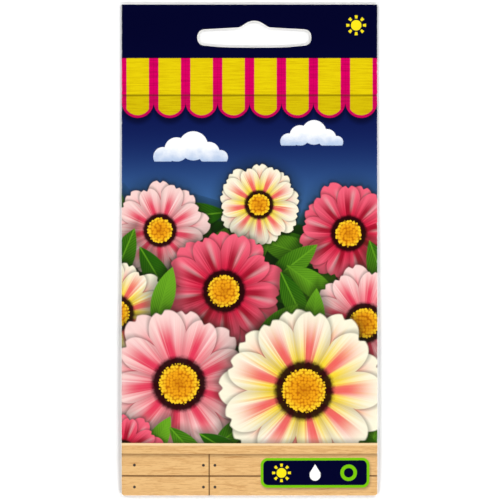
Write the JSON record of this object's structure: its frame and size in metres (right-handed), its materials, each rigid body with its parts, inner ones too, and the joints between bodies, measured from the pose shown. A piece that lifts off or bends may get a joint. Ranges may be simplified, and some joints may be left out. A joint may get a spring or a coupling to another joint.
{
  "type": "seed packet",
  "caption": "Flat paper seed packet with a euro hang slot through its pressed header, a lap seam and a bottom flap on its back, and loose seeds inside.",
  "frame": {"origin": "middle of the packet's outline, on the surface that its back lies on", "axes": "+X across the width to the right as seen from the front, +Y up the packet towards the header with the hang slot, +Z out of the printed front"},
  "size_m": [0.08, 0.1536, 0.0029],
  "materials": {
    "printed_coated_paper": "satin",
    "seed_coat": "matte"
  },
  "bodies": {
    "root": {"paper_packet": "printed_coated_paper", "seed_1": "seed_coat", "seed_2": "seed_coat", "seed_3": "seed_coat", "seed_4": "seed_coat", "seed_5": "seed_coat", "seed_6": "seed_coat", "seed_7": "seed_coat", "seed_8": "seed_coat"}
  },
  "joints": []
}
